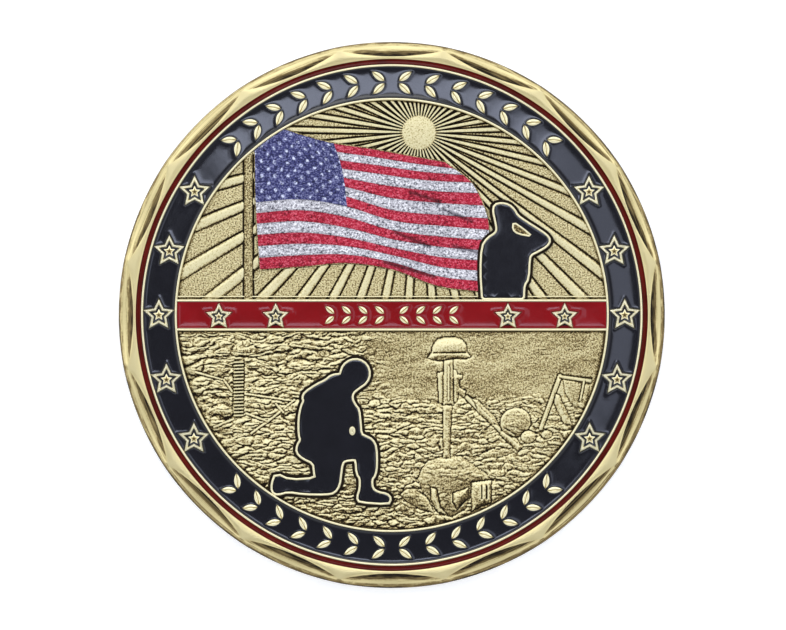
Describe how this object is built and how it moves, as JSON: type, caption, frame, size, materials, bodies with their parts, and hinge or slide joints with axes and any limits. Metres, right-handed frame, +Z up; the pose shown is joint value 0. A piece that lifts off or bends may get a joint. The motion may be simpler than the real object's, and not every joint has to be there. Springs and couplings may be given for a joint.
{
  "type": "challenge coin",
  "caption": "Round die-struck brass challenge coin with a scalloped rim, enamelled star border, flag, banner and two silhouettes in relief.",
  "frame": {"origin": "centre of the coin, on the plane of the reverse rim that it lies on", "axes": "+Z up out of the obverse, +Y towards the top of the design, +X towards its right-hand side"},
  "size_m": [0.0444, 0.0444, 0.003],
  "materials": {
    "antique_brass": "die-struck, antiqued, polished on the raised parts",
    "black_enamel": "gloss soft enamel",
    "scarlet_enamel": "gloss soft enamel",
    "oxblood_enamel": "gloss soft enamel",
    "red_ink": "printed ink film",
    "white_ink": "printed ink film",
    "blue_ink": "printed ink film"
  },
  "bodies": {
    "root": {"banner_enamel_1": "scarlet_enamel", "banner_enamel_2": "scarlet_enamel", "banner_enamel_3": "scarlet_enamel", "banner_enamel_4": "scarlet_enamel", "banner_enamel_5": "scarlet_enamel", "banner_star_1_enamel": "black_enamel", "banner_star_2_enamel": "black_enamel", "banner_star_3_enamel": "black_enamel", "banner_star_4_enamel": "black_enamel", "border_enamel_bottom": "black_enamel", "border_enamel_left_1": "black_enamel", "border_enamel_left_2": "black_enamel", "border_enamel_left_3": "black_enamel", "border_enamel_left_4": "black_enamel", "border_enamel_right_1": "black_enamel", "border_enamel_right_2": "black_enamel", "border_enamel_right_3": "black_enamel", "border_enamel_right_4": "black_enamel", "border_enamel_top": "black_enamel", "border_star_left_1_enamel": "black_enamel", "border_star_left_2_enamel": "black_enamel", "border_star_left_3_enamel": "black_enamel", "border_star_left_4_enamel": "black_enamel", "border_star_left_5_enamel": "black_enamel", "border_star_right_1_enamel": "black_enamel", "border_star_right_2_enamel": "black_enamel", "border_star_right_3_enamel": "black_enamel", "border_star_right_4_enamel": "black_enamel", "border_star_right_5_enamel": "black_enamel", "coin_body": "antique_brass", "flag_canton_ink": "blue_ink", "flag_red_stripe_1": "red_ink", "flag_red_stripe_2": "red_ink", "flag_red_stripe_3": "red_ink", "flag_red_stripe_4": "red_ink", "flag_red_stripe_5": "red_ink", "flag_red_stripe_6": "red_ink", "flag_red_stripe_7": "red_ink", "flag_white_stripe_1": "white_ink", "flag_white_stripe_2": "white_ink", "flag_white_stripe_3": "white_ink", "flag_white_stripe_4": "white_ink", "flag_white_stripe_5": "white_ink", "flag_white_stripe_6": "white_ink", "kneeling_figure_enamel": "black_enamel", "red_ring_enamel": "oxblood_enamel", "saluting_figure_enamel": "black_enamel"}
  },
  "joints": []
}
